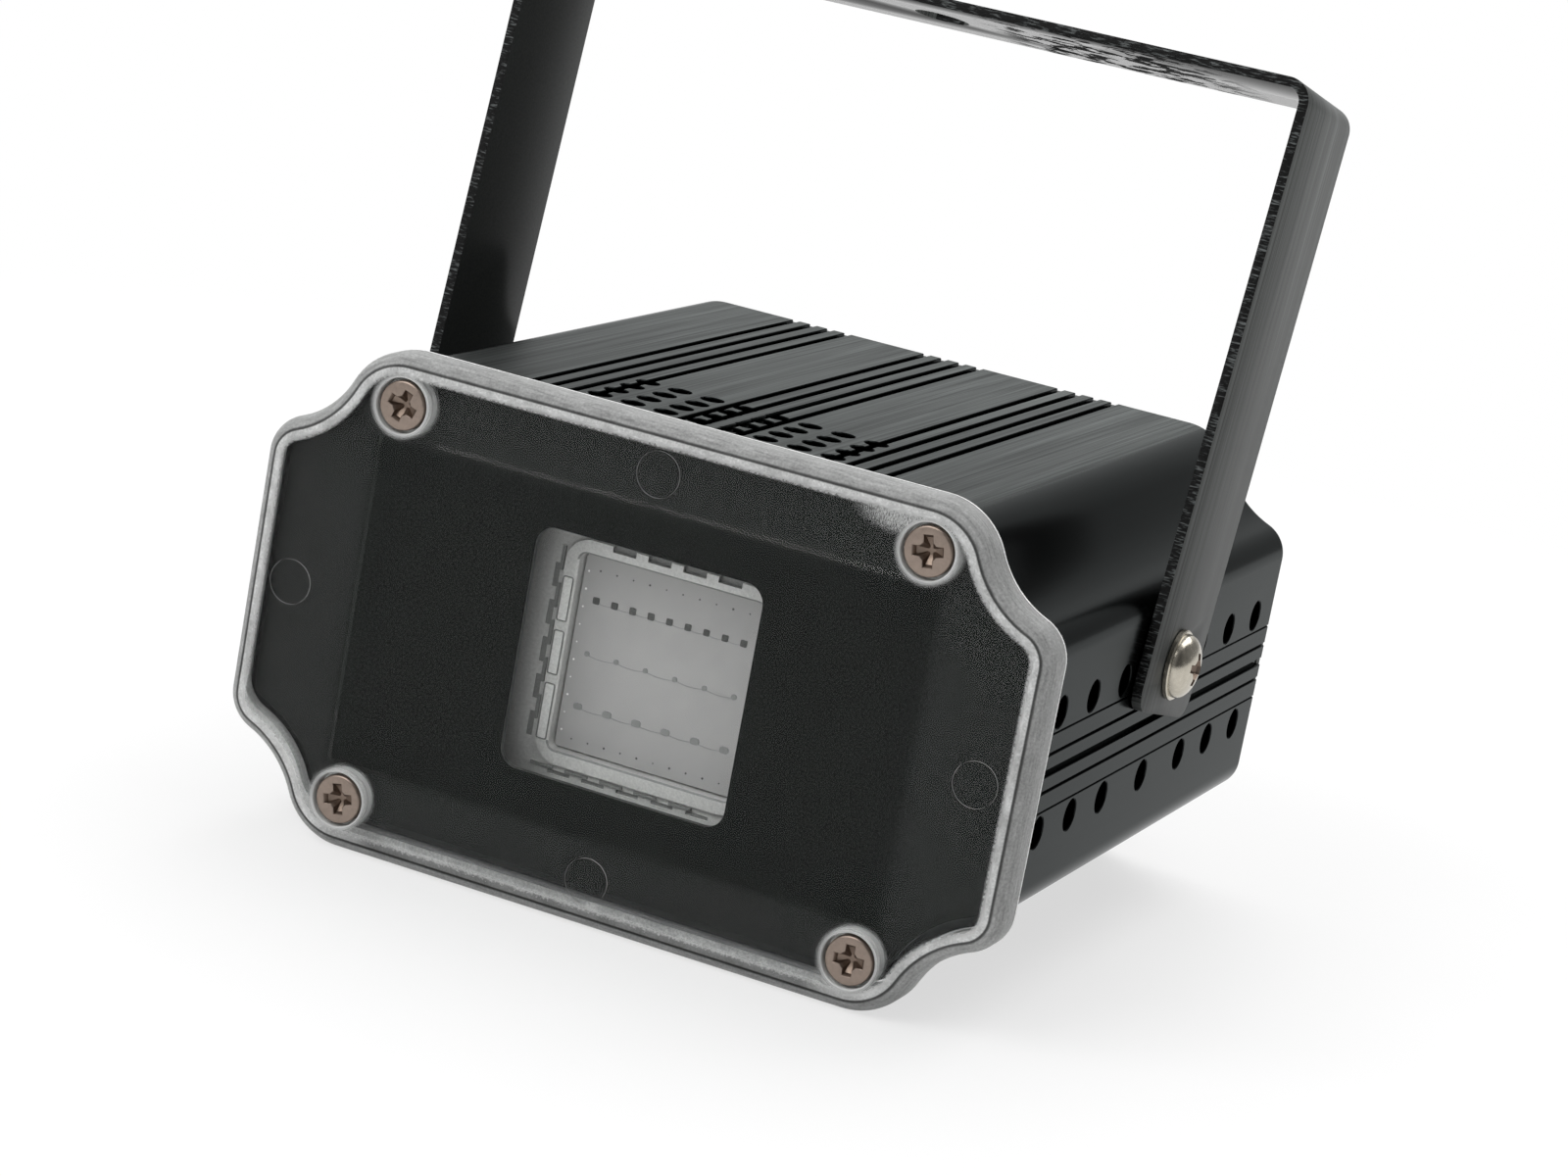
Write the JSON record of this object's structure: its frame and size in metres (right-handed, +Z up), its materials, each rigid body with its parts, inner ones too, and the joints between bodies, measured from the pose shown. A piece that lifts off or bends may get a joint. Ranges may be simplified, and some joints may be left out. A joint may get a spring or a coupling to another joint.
{
  "type": "strobe light",
  "caption": "Compact strobe light: grooved extruded housing, clear moulded front over a square light module, swinging strap bracket and a rear speed knob.",
  "frame": {"origin": "under the middle of the light, level with its lowest edge, which is the rim of the front cover", "axes": "+Z up, +Y from the lit front to the rear panel, +X to the right seen from the front"},
  "size_m": [0.1082, 0.1088, 0.1104],
  "materials": {
    "black_anodised": "brushed and black anodised",
    "clear_plastic": "clear moulded, glossy",
    "black_sheet": "satin black sheet",
    "nickel": "bright nickel plating",
    "white_moulding": "moulded, satin",
    "gel_pad": "soft silicone gel",
    "copper": "plain copper",
    "bare_aluminium": "mill finish",
    "circuit_board": "green solder mask",
    "dark_sleeve": "shrunk sleeve",
    "ferrite": "sintered, matt",
    "black_plastic": "moulded, fine texture",
    "black_paint": "black satin paint over brushed steel"
  },
  "bodies": {
    "housing": {"housing_upper": "black_anodised", "housing_lower": "black_anodised", "front_cover": "clear_plastic", "front_mask": "black_sheet", "cover_screw_1": "nickel", "cover_screw_2": "nickel", "cover_screw_3": "nickel", "cover_screw_4": "nickel", "led_frame": "white_moulding", "led_pad": "gel_pad", "led_base": "copper", "led_screw_1": "nickel", "led_screw_2": "nickel", "led_screw_3": "nickel", "led_screw_4": "nickel", "led_tab_left": "copper", "led_tab_right": "copper", "heat_sink": "bare_aluminium", "driver_board": "circuit_board", "capacitor_1": "dark_sleeve", "capacitor_2": "dark_sleeve", "choke": "ferrite", "transistor_red": "black_plastic", "transistor_green": "black_plastic", "transistor_blue": "black_plastic", "controller_chip": "black_plastic", "rear_panel": "black_sheet", "panel_screw_1": "nickel", "panel_screw_2": "nickel", "panel_screw_3": "nickel", "panel_screw_4": "nickel", "power_socket": "black_plastic", "power_pin": "nickel", "power_nut": "nickel", "speed_control": "bare_aluminium", "speed_nut": "nickel", "pivot_screw_left": "nickel", "pivot_screw_right": "nickel", "pivot_nut_left": "nickel", "pivot_nut_right": "nickel"},
    "bracket": {"bracket": "black_paint"},
    "speed_knob": {"speed_knob": "black_plastic", "speed_shaft": "bare_aluminium"}
  },
  "joints": [
    {"name": "bracket_tilt", "type": "hinge", "parent": "housing", "child": "bracket", "pos_m": [0, -0.0077, 0.0388], "axis": [1, 0, 0], "range_deg": [-210, 72]},
    {"name": "speed_turn", "type": "hinge", "parent": "housing", "child": "speed_knob", "pos_m": [0.024, 0.0423, 0.0315], "axis": [0, 1, 0], "range_deg": [-150, 150]}
  ]
}
